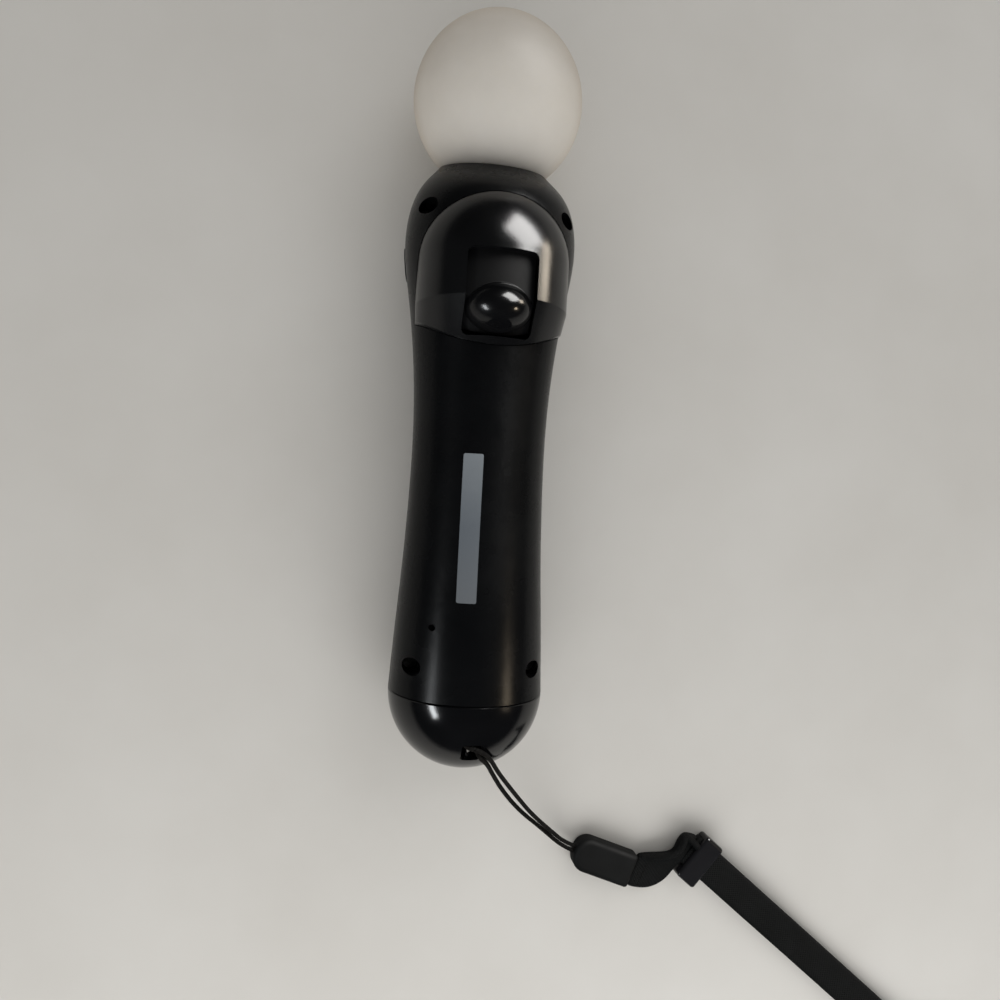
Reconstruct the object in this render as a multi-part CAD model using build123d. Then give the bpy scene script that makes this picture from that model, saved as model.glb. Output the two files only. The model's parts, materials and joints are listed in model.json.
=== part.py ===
from build123d import *
import math
import os

# A motion controller wand, in millimetres. It lies on its button side on the floor, z = 0, with the light
# globe towards +Y and the trigger up. The axis of the case rises a little from the base to the globe, so
# that the base cap and the globe both touch the floor. The wrist strap lies on the floor towards +X and -Y.

# The whole wand
overall_length = 200.0
globe_radius = 22.5
head_radius = 22.6
wall = 2.0
overrun = 1.0
seam_gap = 0.2
running_gap = 0.05
seat_gap = 0.1
bend_share = 0.45
button_gap = 0.25

# The case, as rows of: share of the length from the seam to the rim, share of the head's radius,
# share of the collar's tilt, share of the collar's drop
base_radius_share = 0.9115
case_station_shares = (
    (0.0, base_radius_share, 0.0, 0.0),
    (0.0660, 0.890, 0.0, 0.0),
    (0.1377, 0.864, 0.0, 0.0),
    (0.2237, 0.831, 0.0, 0.0),
    (0.3097, 0.805, 0.0, 0.0),
    (0.3958, 0.789, 0.0, 0.0),
    (0.4818, 0.785, 0.0, 0.0),
    (0.5679, 0.804, 0.0, 0.0),
    (0.6539, 0.850, 0.0, 0.0),
    (0.7256, 0.909, 0.0, 0.0),
    (0.7830, 0.966, 0.0, 0.0),
    (0.8332, 0.999, 0.0, 0.0),
    (0.8762, 0.989, 0.08, 0.03),
    (0.9120, 0.946, 0.25, 0.10),
    (0.9479, 0.860, 0.52, 0.34),
    (0.9766, 0.746, 0.78, 0.66),
)
axis_rise_share = 0.8332
waist_share = 0.4818
waist_radius_share = 0.785
collar_tilt_angle = 12.0
globe_seat_radius = 14.0
collar_lip = 0.5
front_flat_depth = 1.6
front_flat_start_share = 0.6826
bulkhead_gap = 5.0

# The light globe and what shines into it
globe_wall = 1.8
globe_neck_radius = 10.0
globe_neck_wall = 1.3
led_board_radius = 13.5
led_board_thickness = 1.2
led_chip_size = 5.0
led_chip_height = 1.4
led_lens_radius = 7.0
led_lens_skirt = 2.0
led_lens_wall = 1.2

# The trigger bezel, a raised dome that ends in a ledge and a lip
dome_inset = 3.1
dome_rise = 8.0
dome_before_bulkhead = 18.0
crease_before_dome = 12.0
lip_inset = 0.9
lip_drop = 7.6
lip_before_dome = 22.2
lip_curve_radius = 33.0
bezel_gap = 0.12
bezel_floor_drop = 4.0
bezel_back_reach = 1.2
window_width = 17.2
window_top_before_dome = 1.0
window_end_before_dome = 20.5
window_corner_radius = 1.6

# The trigger, its pin, spring and sensor
pivot_past_dome = 5.5
pivot_depth = 12.5
trigger_clearance = 0.3
trigger_inset = 2.4
trigger_end_clearance = 0.4
trigger_top_overlap = 2.2
trigger_depth = 13.5
trigger_skin = 1.6
knob_before_dome = 13.6
knob_depth = 7.3
knob_half_length = 6.0
pivot_boss_radius = 3.2
pivot_boss_width = 13.0
pivot_web_thickness = 6.0
trigger_pin_radius = 1.2
ear_inner_reach = 11.9
ear_thickness = 2.0
ear_length = 7.0
spring_wire_radius = 0.3
spring_coil_radius = 2.4
spring_pitch = 0.8
spring_turn_count = 4
spring_start_reach = 7.4
spring_leg_length = 4.5
sensor_board_size = (15.0, 17.0, 1.2)
sensor_board_depth = 23.0
sensor_board_before_dome = 11.0
sensor_pad_radius = 3.2
sensor_pad_height = 1.8
sensor_leg_thickness = 1.6

# The buttons on the hidden side
centre_button_size = (12.6, 17.0)
centre_button_before_bulkhead = 26.0
face_button_radius = 3.1
face_button_reach = 9.8
face_button_step = 10.5
home_button_radius = 3.8
home_button_before_bulkhead = 50.0
side_button_size = (9.0, 4.4)
side_button_before_bulkhead = 16.4
side_button_drop = 4.9
side_button_rise = 0.3
button_rise = 0.9
button_flange = 0.7
button_flange_thickness = 0.9
button_stem_radius = 1.8
button_travel = 0.8
side_button_length = 5.0
status_lens_radius = 0.9
status_lens_before_bulkhead = 41.0
reset_hole_radius = 0.8
reset_button_radius = 1.2
reset_reach = 11.2
reset_from_base = 39.2
reset_switch_size = (3.6, 3.6, 2.4)
reset_rest_gap = 0.9
reset_guide_wall = 0.9
reset_guide_length = 6.0

# The boards and the button mat
main_board_thickness = 1.2
main_board_depth = 11.9
board_side_gap = 0.9
main_board_from_base = 26.0
main_board_before_bulkhead = 9.5
main_board_corner = 3.0
chip_sizes = ((9.0, 9.0, 1.2), (6.0, 7.0, 1.2), (7.0, 4.5, 3.0))
chip_before_bulkhead = (17.0, 43.5, 45.4)
chip_reaches = (0.0, -7.5, 7.5)
mat_thickness = 1.0
mat_margin = 1.0
mat_length = 45.5
mat_before_bulkhead = 10.5
mat_corner = 3.0
mat_lens_hole_radius = 1.6
post_radius = 1.8
post_reach = 9.0
post_from_base = 34.0
post_before_bulkhead = 62.0

# The battery and the motor
battery_width = 22.0
battery_height = 11.0
battery_from_base = 52.5
battery_before_bulkhead = 49.5
battery_corner = 2.5
tray_wall = 0.9
tray_depth = 6.0
lead_radius = 0.5
lead_spacing = 1.6
lead_reach = 7.5
lead_height = 8.5
lead_bend_share = 0.9
motor_radius = 6.0
motor_length = 13.0
motor_from_base = 29.0
motor_shaft_radius = 0.6
motor_shaft_length = 6.5
weight_radius = 4.8
weight_hub_radius = 1.5
weight_length = 4.5
weight_gap = 0.8
cradle_wall = 1.2
cradle_length = 11.0

# The screws
screw_reach_shares = (0.69, 0.788)
screw_from_base = 28.7
screw_before_bulkhead = 6.0
screw_bore_radius = 2.2
screw_tower_wall = 1.2
screw_tower_floor = 3.0
screw_hole_radius = 1.2
screw_head_radius = 1.9
screw_head_height = 1.4
screw_recess_radius = 0.8
screw_recess_depth = 0.8
screw_shank_radius = 1.0
screw_shank_length = 9.0
screw_boss_radius = 2.8
screw_hole_depth = 10.0

# The base cap and what is in it
cap_spigot_length = 4.0
cap_spigot_wall = 1.4
cap_spigot_gap = 0.5
cap_edge = 0.35
port_board_size = (19.0, 19.0, 1.2)
port_board_start = 6.4
usb_size = (7.6, 8.5, 3.4)
usb_wall = 0.45
usb_tongue_size = (5.0, 6.5, 0.9)
extension_size = (13.0, 8.0, 3.4)
extension_wall = 0.6
extension_tongue_size = (10.6, 6.0, 1.0)
socket_recess = 1.9
socket_gap = 0.25
socket_corner = 0.7
contact_radius = 1.0
contact_reach = 8.4
rail_overlap = 1.0
rail_thickness = 1.4
rail_length = 12.0
strap_slot_size = (4.9, 6.2, 5.2)
strap_slot_reach = 0.35
strap_slot_angle = 51.5
strap_slot_corner = 1.0
strap_bar_radius = 0.5
strap_bar_depth = 1.9
strap_bar_reach = -0.2
strap_bar_bedding = 1.2

# The blank label on the handle
label_size = (4.9, 37.0)
label_thickness = 0.2
label_corner = 0.5
label_reach = -3.4
label_place_share = 0.322

# The wrist strap. Its cord hangs from the bar to the floor in two strands. The loop round the bar is given
# in the slot's own axes, as (x, y, z). The hanging points, and the strap's places on the floor, are given
# as (x, y) from the end of the base; a hanging point's height is a share of the height of the slot's mouth
cord_radius = 0.6
cord_meeting = (-0.2, 1.3, -3.1)
upper_loop = ((-1.4, 1.5, -3.1), (-1.4, 2.0, -0.7), (3.1, 2.2, 0.95))
lower_loop = ((1.0, 1.1, -3.1), (2.3, 0.5, 1.3))
upper_hang = ((5.7, 6.0), (8.7, 1.0), (14.2, -6.6), (21.9, -16.6), (30.4, -25.2))
upper_hang_shares = (0.9749, 0.8442, 0.6236, 0.3785, 0.1770)
lower_hang = ((5.0, 4.6), (7.5, 0.0), (12.0, -7.4), (18.6, -15.8), (27.4, -24.2))
lower_hang_shares = (0.9395, 0.7952, 0.5882, 0.3812, 0.1797)
sleeve_size = (19.5, 10.2, 6.0)
sleeve_place = (47.3, -35.0)
sleeve_angle = -20.0
sleeve_nose_radius = 4.4
sleeve_tail_radius = 1.0
sleeve_edge = 1.5
sleeve_bore_reach = 0.75
sleeve_bore_depth = 3.0
cord_approach = 3.2
webbing_width = 10.0
webbing_thickness = 1.3
webbing_gap = 0.3
neck_start_reach = 4.9
neck_end_reach = 10.2
neck_upper_edge = ((62.4, -33.2), (68.2, -33.0), (70.7, -31.2), (71.6, -28.6), (71.0, -26.3))
neck_lower_edge = ((64.9, -43.1), (61.4, -44.3), (57.9, -43.8))
band_place = (78.4, -35.0)
band_angle = -39.6
band_start = 4.3
slider_size = (7.0, 15.0, 6.0)
slider_reach = -0.9
slider_edge = 1.0
slider_floor = 1.2
slider_slot_gap = 0.15
loop_lower_route = ((24.0, 2.0), (42.0, 0.75), (72.0, 0.95), (104.0, 0.7))
loop_bight_route = ((113.5, 1.0), (116.0, 5.2), (109.5, 7.6), (100.0, 4.0))
loop_upper_route = ((74.0, 2.8), (44.0, 2.5), (25.0, 3.6))


# Places that follow from the sizes
base_radius = base_radius_share * head_radius
base_end = -overall_length / 2
cap_centre_y = base_end + base_radius
seam_y = cap_centre_y + seam_gap
globe_centre_y = overall_length / 2 - globe_radius
bulkhead_y = globe_centre_y - globe_radius - bulkhead_gap
globe_seat_depth = math.sqrt(globe_radius**2 - globe_seat_radius**2)
rim_y = globe_centre_y - globe_seat_depth * math.cos(math.radians(collar_tilt_angle))
rim_drop = globe_seat_depth * math.sin(math.radians(collar_tilt_angle))
parting_height = (base_radius + globe_radius) / 2
front_height = globe_radius - head_radius + front_flat_depth
dome_radius = head_radius - dome_inset
dome_height = globe_radius + dome_rise
dome_top = dome_height + dome_radius
dome_y = bulkhead_y - dome_before_bulkhead
crease_y = dome_y - crease_before_dome
lip_y = dome_y - lip_before_dome
lip_height = dome_height - lip_drop
lip_radius = dome_radius - lip_inset
bezel_floor_height = dome_height - bezel_floor_drop
window_top_y = dome_y - window_top_before_dome
window_end_y = dome_y - window_end_before_dome
pivot_y = dome_y + pivot_past_dome
pivot_height = dome_top - pivot_depth
trigger_floor_height = dome_top - trigger_depth
knob_y = dome_y - knob_before_dome
knob_height = dome_top - knob_depth
knob_radius = window_width / 2 - trigger_clearance
sensor_board_y = dome_y - sensor_board_before_dome
sensor_board_height = dome_top - sensor_board_depth
main_board_height = front_height + main_board_depth
main_board_top = main_board_height + main_board_thickness
main_board_start_y = base_end + main_board_from_base
main_board_end_y = bulkhead_y - main_board_before_bulkhead
mat_end_y = bulkhead_y - mat_before_bulkhead
status_lens_y = bulkhead_y - status_lens_before_bulkhead
battery_start_y = base_end + battery_from_base
battery_end_y = bulkhead_y - battery_before_bulkhead
reset_y = base_end + reset_from_base


def case_place(length_share):
    """The place along Y at a share of the way from the seam to the rim."""
    return seam_y + length_share * (rim_y - seam_y)


def axis_height(y):
    """The height of the case's axis: it rises from the base to the head."""
    share = min(1, max(0, (y - seam_y) / (case_place(axis_rise_share) - seam_y)))
    return base_radius + share * (globe_radius - base_radius)


def across_plane(y, z, tilt_angle=0):
    """A plane across the wand, with its local X along X, facing the globe."""
    tilt = math.radians(tilt_angle)
    return Plane(origin=(0, y, z), x_dir=(1, 0, 0), z_dir=(0, math.cos(tilt), math.sin(tilt)))


def along_y(radius, start, end, x, z):
    """A round bar along Y."""
    return across_plane(start, z) * Pos(x, 0, 0) * extrude(Circle(radius), end - start)


def along_x(radius, start, end, y, z):
    """A round bar along X."""
    plane = Plane(origin=(start, y, z), x_dir=(0, 1, 0), z_dir=(1, 0, 0))
    return plane * extrude(Circle(radius), end - start)


def upright(radius, x, y, low, high):
    """A round bar along Z."""
    return Pos(x, y, low) * extrude(Circle(radius), high - low)


def block(x_size, y_range, z_range, x=0):
    """A box by its width, and its ends along Y and Z."""
    low_y, high_y = y_range
    low_z, high_z = z_range
    centre = Pos(x, (low_y + high_y) / 2, (low_z + high_z) / 2)
    return centre * Box(x_size, high_y - low_y, high_z - low_z)


def case_form(growth):
    """The case from the seam to the collar's rim, grown or shrunk by one value."""
    sections = []
    for length_share, radius_share, tilt_share, drop_share in case_station_shares:
        y = case_place(length_share)
        plane = across_plane(y, axis_height(y) - drop_share * rim_drop, tilt_share * collar_tilt_angle)
        sections.append(plane * Circle(radius_share * head_radius + growth))
    rim = across_plane(rim_y, globe_radius - rim_drop, collar_tilt_angle)
    sections.append(rim * Circle(globe_seat_radius + collar_lip + growth))
    return loft(sections)


def front_flat(growth):
    """What the flat front of the head takes off the case form."""
    start = case_place(front_flat_start_share)
    return block(4 * head_radius, (start, globe_centre_y), (-head_radius, front_height - growth))


def case_outside(growth=0):
    return case_form(growth) - front_flat(growth)


def case_hollow(growth=0):
    """The room inside the case, up to the bulkhead that carries the globe."""
    mouth = along_y(base_radius - wall + growth, seam_y - overrun, seam_y + overrun, 0, base_radius)
    room = case_form(growth - wall) - front_flat(growth - wall) + mouth
    beyond = block(4 * head_radius, (bulkhead_y + growth, globe_centre_y), (-head_radius, 3 * head_radius))
    return room - beyond


def bezel_form(growth):
    """The raised dome round the trigger, down to its curved lip."""
    radius = dome_radius + growth
    dome = Pos(0, dome_y, dome_height) * Sphere(radius)
    barrel = along_y(radius, crease_y, dome_y, 0, dome_height)
    crease = across_plane(crease_y, dome_height) * Circle(radius)
    lip = across_plane(lip_y - overrun, lip_height - overrun) * Circle(lip_radius + growth)
    ledge = loft([lip, crease], ruled=True)
    form = dome + barrel + ledge
    end_radius = lip_curve_radius + growth
    end = upright(end_radius, 0, lip_y + lip_curve_radius, bezel_floor_height, 3 * head_radius)
    tail = bulkhead_y - bezel_back_reach + growth
    far = block(4 * head_radius, (base_end, tail), (0, 3 * head_radius))
    return form & end & far


def window():
    """The trigger's window, open from the dome's front to just above the lip."""
    outline = Rectangle(window_width, window_top_y - window_end_y)
    outline = Pos(0, (window_end_y + window_top_y) / 2) * outline
    outline = fillet(outline.vertices(), window_corner_radius)
    return Pos(0, 0, bezel_floor_height) * extrude(outline, 2 * head_radius)


def screw_places():
    rows = (base_end + screw_from_base, bulkhead_y - screw_before_bulkhead)
    for reach_share, y in zip(screw_reach_shares, rows, strict=True):
        for side in (-1, 1):
            yield side * reach_share * head_radius, y


def globe_seat(gap):
    return Pos(0, globe_centre_y, globe_radius) * Sphere(globe_radius + gap)


def half_case(outside, room, low, high):
    """One half of the case, with its share of the collar's seat and the neck's bore."""
    bore = along_y(globe_neck_radius + seat_gap, bulkhead_y - overrun, globe_centre_y, 0, globe_radius)
    half = outside & block(4 * head_radius, (base_end, overall_length / 2), (low, high))
    return half - room - globe_seat(seat_gap) - bore


def rear_shell(outside, hollow):
    """The back half: the bezel's opening, four screw towers and the reset button's guide."""
    low = parting_height + seam_gap / 2
    reset_x = -reset_reach
    roof = reset_roof_height()
    bore_radius = reset_button_radius + running_gap
    guide_low = roof - reset_guide_length
    room = hollow - upright(bore_radius + reset_guide_wall, reset_x, reset_y, guide_low, 2 * head_radius)
    for x, y in screw_places():
        room = room - upright(screw_bore_radius + screw_tower_wall, x, y, low - overrun, 2 * head_radius)
    shell = half_case(outside, room, low, 4 * head_radius)
    shell = shell - bezel_form(bezel_gap)
    for x, y in screw_places():
        shell = shell - upright(screw_bore_radius, x, y, low + screw_tower_floor, 3 * head_radius)
        shell = shell - upright(screw_hole_radius, x, y, low - overrun, low + screw_tower_floor + overrun)
    shell = shell - upright(bore_radius, reset_x, reset_y, guide_low - overrun, roof)
    return shell - upright(reset_hole_radius, reset_x, reset_y, roof - overrun, 3 * head_radius)


def inner_radius(y):
    """The radius of the case's inner face at a place between two stations of the straight handle."""
    radius = base_radius
    for (low_share, low_radius_share, _, _), (high_share, high_radius_share, _, _) in zip(
        case_station_shares, case_station_shares[1:], strict=False
    ):
        low_y = case_place(low_share)
        high_y = case_place(high_share)
        if low_y <= y < high_y:
            share = (y - low_y) / (high_y - low_y)
            radius = (low_radius_share + share * (high_radius_share - low_radius_share)) * head_radius
    return radius - wall


def reset_roof_height():
    """The height of the case's inner face over the reset button."""
    reach = reset_reach + reset_button_radius
    return axis_height(reset_y) + math.sqrt(inner_radius(reset_y) ** 2 - reach**2)


def button_outline(name, growth=0):
    """The outline of a button on the front, in plan."""
    centre_y = bulkhead_y - centre_button_before_bulkhead
    if name == "centre_button":
        width, length = centre_button_size
        return Pos(0, centre_y) * Ellipse(width / 2 + growth, length / 2 + growth)
    if name == "home_button":
        return Pos(0, bulkhead_y - home_button_before_bulkhead) * Circle(home_button_radius + growth)
    side = -1 if "left" in name else 1
    step = face_button_step if "upper" in name else -face_button_step
    return Pos(side * face_button_reach, centre_y + step) * Circle(face_button_radius + growth)


front_button_names = (
    "centre_button",
    "home_button",
    "upper_left_button",
    "upper_right_button",
    "lower_left_button",
    "lower_right_button",
)


def front_column(outline, height):
    """A column on an outline in plan, from below the case up to a height."""
    return Pos(0, 0, -overrun) * extrude(outline, height + overrun)


def side_outline(grow):
    length, height = side_button_size
    return SlotOverall(length + 2 * grow, height + 2 * grow)


def side_column(side, grow):
    """A column along X at a side button."""
    start = side * (head_radius - side_button_length)
    y = bulkhead_y - side_button_before_bulkhead
    plane = Plane(origin=(start, y, globe_radius - side_button_drop), x_dir=(0, 1, 0), z_dir=(side, 0, 0))
    return plane * extrude(side_outline(grow), 2 * side_button_length)


def front_shell(outside, hollow):
    """The button half: button holes, four screw bosses and four board posts."""
    high = parting_height - seam_gap / 2
    room = hollow
    for x, y in screw_places():
        room = room - upright(screw_boss_radius, x, y, -overrun, parting_height)
    for y in (base_end + post_from_base, bulkhead_y - post_before_bulkhead):
        for side in (-1, 1):
            room = room - upright(post_radius, side * post_reach, y, -overrun, main_board_height)
    shell = half_case(outside, room, -head_radius, high)
    for x, y in screw_places():
        bore_radius = screw_shank_radius + running_gap
        shell = shell - upright(bore_radius, x, y, high - screw_hole_depth, high + overrun)
    for name in front_button_names:
        shell = shell - front_column(button_outline(name, button_gap), parting_height)
    for side in (-1, 1):
        shell = shell - side_column(side, button_gap)
    return shell - upright(status_lens_radius + seat_gap, 0, status_lens_y, -overrun, parting_height)


def front_button(name, raised, under_wall, deep):
    """A button that follows the case, with a flange behind the wall and a stem to the mat."""
    outline = button_outline(name)
    top = main_board_height - mat_thickness - button_travel - button_gap
    core = (front_column(outline, top) & raised) - deep
    flange = (front_column(button_outline(name, button_flange), top) & under_wall) - deep
    centre = outline.center()
    stem = upright(button_stem_radius, centre.X, centre.Y, -overrun, top) & raised
    return core + flange + stem


def side_button(side, raised, under_wall, deep):
    """A side button with a flange behind the wall."""
    core = side_column(side, 0) & raised
    flange = (side_column(side, button_flange) & under_wall) - deep
    return core + flange


def trigger_bezel(hollow):
    """The dome's skin with its window, and two ears that hold the trigger's pin."""
    inner = bezel_form(-wall)
    skin = bezel_form(0) - inner - hollow - window()
    for side in (-1, 1):
        x = side * (ear_inner_reach + ear_thickness / 2)
        low = pivot_height - ear_length / 2
        ear = block(
            ear_thickness,
            (pivot_y - ear_length / 2, pivot_y + ear_length / 2),
            (low, dome_height + dome_radius),
            x,
        )
        skin = skin + (ear & bezel_form(-wall / 2))
    return skin - trigger_pin()


def knob():
    """The rounded finger knob: a turned half ellipse, shorter along the wand than across it."""
    half = Pos(knob_radius, 0) * Rectangle(2 * knob_radius, 4 * knob_radius)
    return Pos(0, knob_y, knob_height) * revolve(Ellipse(knob_radius, knob_half_length) & half, Axis.Y)


def trigger():
    """A hollow plate that follows the dome and the ledge, with a knob, on a boss round the pin."""
    width = 2 * knob_radius
    end_reach = pivot_y - window_end_y - trigger_end_clearance
    top_y = window_top_y + trigger_top_overlap
    low_y = pivot_y - end_reach
    plan = fillet(Rectangle(width, top_y - low_y).vertices(), window_corner_radius)
    tail = Pos(0, (low_y + top_y) / 2, trigger_floor_height) * extrude(plan, 2 * head_radius)
    swing = along_x(end_reach, -knob_radius, knob_radius, pivot_y, pivot_height)
    pocket = block(
        width - 2 * trigger_skin,
        (low_y + trigger_skin, top_y - trigger_skin),
        (trigger_floor_height - overrun, dome_top),
    )
    pocket = pocket & bezel_form(-trigger_inset - trigger_skin)
    body = (((tail & bezel_form(-trigger_inset)) + (knob() & tail)) & swing) - pocket
    boss = along_x(pivot_boss_radius, -pivot_boss_width / 2, pivot_boss_width / 2, pivot_y, pivot_height)
    web_low = pivot_height - pivot_web_thickness / 2
    web = block(
        pivot_boss_width,
        (top_y - trigger_skin, pivot_y),
        (max(web_low, trigger_floor_height), pivot_height + pivot_web_thickness / 2),
    )
    pin_hole = along_x(trigger_pin_radius + running_gap, -width, width, pivot_y, pivot_height)
    return body + web + boss - pin_hole


def trigger_pin():
    reach = ear_inner_reach + ear_thickness
    return along_x(trigger_pin_radius, -reach, reach, pivot_y, pivot_height)


def trigger_spring():
    """A torsion spring on the pin, with a leg to the bezel and a leg to the trigger."""
    height = spring_pitch * spring_turn_count
    helix = Helix(spring_pitch, height, spring_coil_radius)
    start = helix @ 0
    profile = Plane(origin=start, x_dir=(1, 0, 0), z_dir=helix % 0) * Circle(spring_wire_radius)
    coil = sweep(profile, helix, is_frenet=True)
    leg = extrude(Circle(spring_wire_radius), spring_leg_length)
    low_leg = Plane(origin=start, z_dir=-(helix % 0)) * leg
    high_leg = Plane(origin=helix @ 1, z_dir=helix % 1) * leg
    spring = coil + low_leg + high_leg
    return Pos(spring_start_reach, pivot_y, pivot_height) * Rot(0, 90, 0) * spring


def sensor_board():
    """The small board under the trigger, with its pressure pad."""
    width, length, thickness = sensor_board_size
    top = sensor_board_height + thickness
    ends = (sensor_board_y - length / 2, sensor_board_y + length / 2)
    board = block(width, ends, (sensor_board_height, top))
    pad = upright(sensor_pad_radius, 0, sensor_board_y, top, top + sensor_pad_height)
    return board + pad


def sensor_bracket():
    """A bridge on the main board that carries the sensor board."""
    width, length, _ = sensor_board_size
    ends = (sensor_board_y - length / 2, sensor_board_y + length / 2)
    deck = block(width, ends, (sensor_board_height - sensor_leg_thickness, sensor_board_height))
    bridge = deck
    for side in (-1, 1):
        x = side * (width - sensor_leg_thickness) / 2
        bridge = bridge + block(sensor_leg_thickness, ends, (main_board_top, sensor_board_height), x)
    return bridge


def plan_plate(width, ends, low, high, corner):
    """A flat plate with rounded corners in plan."""
    start, end = ends
    outline = fillet(Rectangle(width, end - start).vertices(), corner)
    return Pos(0, (start + end) / 2, low) * extrude(outline, high - low)


def main_board_width():
    """The widest board that passes the waist."""
    radius = waist_radius_share * head_radius - wall
    drop = axis_height(case_place(waist_share)) - main_board_height
    return 2 * (math.sqrt(radius**2 - drop**2) - board_side_gap)


def main_board():
    ends = (main_board_start_y, main_board_end_y)
    board = plan_plate(main_board_width(), ends, main_board_height, main_board_top, main_board_corner)
    chips = zip(chip_sizes, chip_before_bulkhead, chip_reaches, strict=True)
    for (width, length, height), before, x in chips:
        y = bulkhead_y - before
        ends = (y - length / 2, y + length / 2)
        board = board + block(width, ends, (main_board_top, main_board_top + height), x)
    return board


def button_mat():
    ends = (mat_end_y - mat_length, mat_end_y)
    low = main_board_height - mat_thickness
    mat = plan_plate(main_board_width() - 2 * mat_margin, ends, low, main_board_height, mat_corner)
    return mat - upright(mat_lens_hole_radius, 0, status_lens_y, 0, main_board_height + overrun)


def status_lens(outside):
    return upright(status_lens_radius, 0, status_lens_y, -overrun, main_board_height) & outside


def reset_parts():
    """The reset button and the little switch that it presses."""
    width, length, height = reset_switch_size
    top = main_board_top + height
    ends = (reset_y - length / 2, reset_y + length / 2)
    switch = block(width, ends, (main_board_top, top), -reset_reach)
    rest = top + reset_rest_gap
    button = upright(reset_button_radius, -reset_reach, reset_y, rest, reset_roof_height() - seat_gap)
    return switch, button


def battery():
    low = main_board_top + tray_wall
    cell = block(battery_width, (battery_start_y, battery_end_y), (low, low + battery_height))
    return fillet(cell.edges().filter_by(Axis.Y), battery_corner)


def battery_tray():
    """An open tray that holds the battery on the board."""
    ends = (battery_start_y - tray_wall, battery_end_y + tray_wall)
    outer = block(battery_width + 2 * tray_wall, ends, (main_board_top, main_board_top + tray_depth))
    heights = (main_board_top + tray_wall, main_board_top + tray_depth + overrun)
    return outer - block(battery_width, (battery_start_y, battery_end_y), heights)


def battery_lead():
    """Two insulated wires from the battery down to the board's connector."""
    high = main_board_top + tray_wall + lead_height
    connector_top = main_board_top + chip_sizes[2][2]
    end_y = bulkhead_y - chip_before_bulkhead[2]
    wires = []
    for side in (-1, 1):
        x = lead_reach + side * lead_spacing / 2
        points = [(x, battery_end_y, high), (x, end_y, high), (x, end_y, connector_top)]
        route = FilletPolyline(*points, radius=(end_y - battery_end_y) * lead_bend_share)
        profile = across_plane(battery_end_y, high) * Pos(x, 0) * Circle(lead_radius)
        wires.append(sweep(profile, route))
    return Compound(wires)


def motor_height():
    return main_board_top + cradle_wall + motor_radius


def vibration_motor():
    start = base_end + motor_from_base
    height = motor_height()
    can = along_y(motor_radius, start, start + motor_length, 0, height)
    shaft_bore = along_y(
        motor_shaft_radius + running_gap, start + motor_length / 2, start + motor_length + overrun, 0, height
    )
    return can - shaft_bore


def motor_weight():
    """The off-centre weight and its shaft, which runs in the motor."""
    height = motor_height()
    front = base_end + motor_from_base + motor_length
    back = front - motor_length / 2 + overrun
    shaft = along_y(motor_shaft_radius, back, front + motor_shaft_length, 0, height)
    start = front + weight_gap
    disc = along_y(weight_radius, start, start + weight_length, 0, height)
    half = disc & block(2 * weight_radius, (start, start + weight_length), (height, height + weight_radius))
    hub = along_y(weight_hub_radius, start, start + weight_length, 0, height)
    return shaft + half + hub


def motor_cradle():
    """A rubber saddle that holds the motor on the board."""
    height = motor_height()
    start = base_end + motor_from_base + (motor_length - cradle_length) / 2
    end = start + cradle_length
    outer = along_y(motor_radius + cradle_wall, start, end, 0, height)
    foot = block(2 * (motor_radius + cradle_wall), (start, end), (main_board_top, height))
    bore = along_y(motor_radius, start - overrun, end + overrun, 0, height)
    return outer + foot - bore


def led_parts():
    """The light's board with its chip, and the lens over it."""
    front = bulkhead_y
    board = along_y(led_board_radius, front - led_board_thickness, front, 0, globe_radius)
    chip = block(
        led_chip_size,
        (front, front + led_chip_height),
        (globe_radius - led_chip_size / 2, globe_radius + led_chip_size / 2),
    )
    lens = along_y(led_lens_radius, front, front + led_lens_skirt, 0, globe_radius)
    dome = Pos(0, front + led_lens_skirt, globe_radius) * Sphere(led_lens_radius)
    inner = led_lens_radius - led_lens_wall
    hollow = along_y(inner, front - overrun, front + led_lens_skirt, 0, globe_radius)
    inner_dome = Pos(0, front + led_lens_skirt, globe_radius) * Sphere(inner)
    behind = block(4 * led_lens_radius, (base_end, front), (0, 2 * globe_radius))
    return board + chip, lens + dome - hollow - inner_dome - behind


def light_globe():
    """A hollow ball with a neck that reaches through the bulkhead to the light's board."""
    ball = Pos(0, globe_centre_y, globe_radius) * Sphere(globe_radius)
    neck = along_y(globe_neck_radius, bulkhead_y, globe_centre_y, 0, globe_radius)
    inside = Pos(0, globe_centre_y, globe_radius) * Sphere(globe_radius - globe_wall)
    bore = along_y(
        globe_neck_radius - globe_neck_wall, bulkhead_y - overrun, globe_centre_y, 0, globe_radius
    )
    return ball + neck - inside - bore


def strap_slot_plane():
    """A plane on the base cap's skin at the strap slot: local Z points out, local Y towards the globe."""
    angle = math.radians(strap_slot_angle)
    out = Vector(0, -math.cos(angle), math.sin(angle))
    centre = Vector(0, cap_centre_y, base_radius)
    return Plane(origin=centre + out * base_radius, x_dir=(1, 0, 0), z_dir=out)


def socket_cut(size, height):
    """The opening for a socket in the end of the cap."""
    width, _, tall = size
    outline = Rectangle(width + 2 * socket_gap, tall + 2 * socket_gap)
    outline = fillet(outline.vertices(), socket_corner + socket_gap)
    return across_plane(base_end - overrun, height) * extrude(outline, base_radius / 2)


def port_board_low():
    return base_radius - port_board_size[2] / 2


def usb_height():
    return port_board_low() - usb_size[2] / 2


def extension_height():
    return port_board_low() + port_board_size[2] + extension_size[2] / 2


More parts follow.
